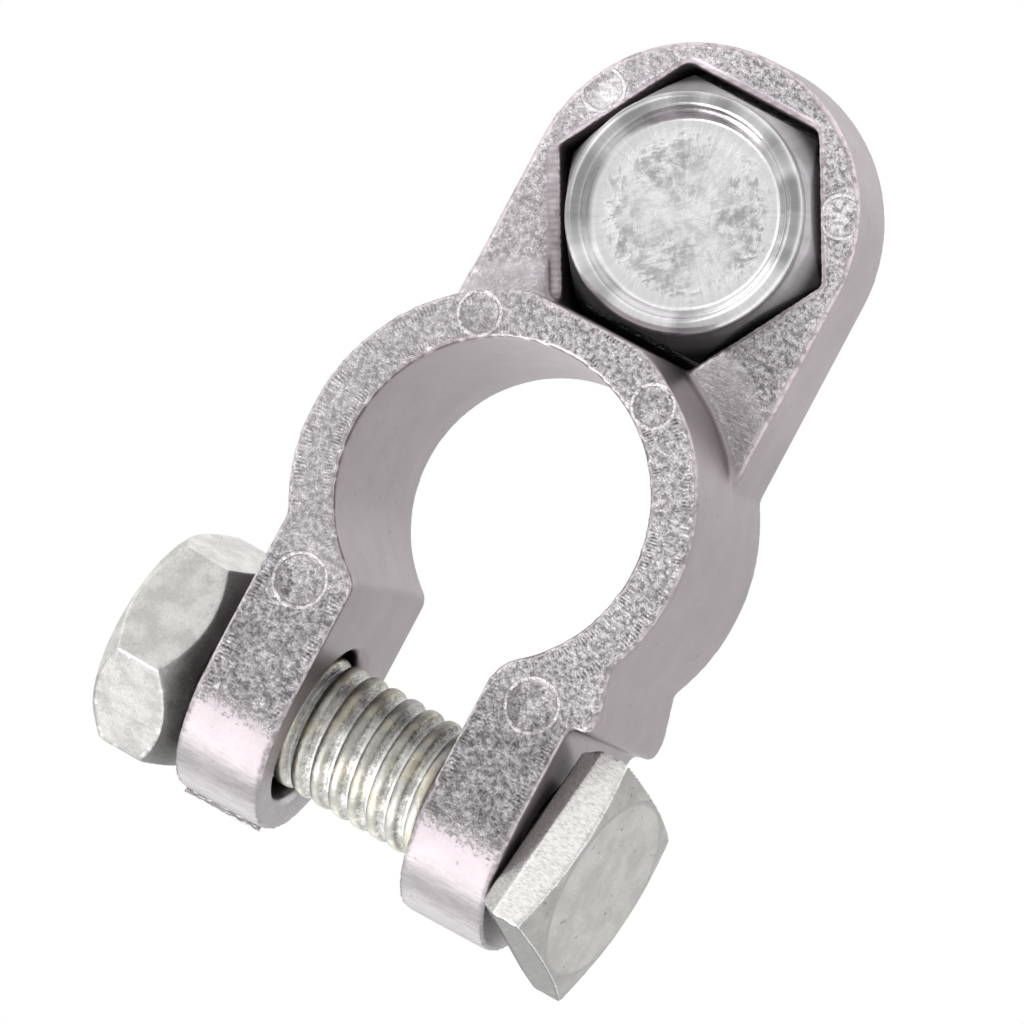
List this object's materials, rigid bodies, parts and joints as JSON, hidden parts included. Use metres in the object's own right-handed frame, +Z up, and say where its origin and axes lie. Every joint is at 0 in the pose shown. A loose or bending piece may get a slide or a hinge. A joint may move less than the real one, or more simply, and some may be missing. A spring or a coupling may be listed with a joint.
{
  "type": "battery terminal clamp",
  "caption": "Die-cast battery terminal clamp: a split tapered ring drawn together by a square-headed bolt, with an upright threaded stud on its lug.",
  "frame": {"origin": "on the battery post's axis, in the plane of the flat underside that faces the battery", "axes": "+Z up along the post and the stud, as the clamp is worn; +Y from the post to the stud; +X towards the clamp nut, -X towards the square bolt head"},
  "size_m": [0.031, 0.0509, 0.0323],
  "materials": {
    "casting": "bare die-cast zinc alloy, pale grey, speckled faces and smooth walls",
    "plated_steel": "bright zinc plating, slightly warm, with forging marks"
  },
  "bodies": {
    "clamp": {"clamp_body": "casting", "clamp_bolt": "plated_steel", "stud_bolt": "plated_steel", "stud_washer": "plated_steel", "stud_spring_washer": "plated_steel"},
    "clamp_nut": {"clamp_nut": "plated_steel"},
    "stud_nut": {"stud_nut": "plated_steel"}
  },
  "joints": [
    {"name": "clamp_nut_turn", "type": "hinge", "parent": "clamp", "child": "clamp_nut", "pos_m": [0, -0.01565, 0.007], "axis": [0.9985, 0.0261, 0.0488], "continuous": true},
    {"name": "stud_nut_turn", "type": "hinge", "parent": "clamp", "child": "stud_nut", "pos_m": [0, 0.01865, 0.0209], "axis": [0, 0, 1], "continuous": true}
  ]
}
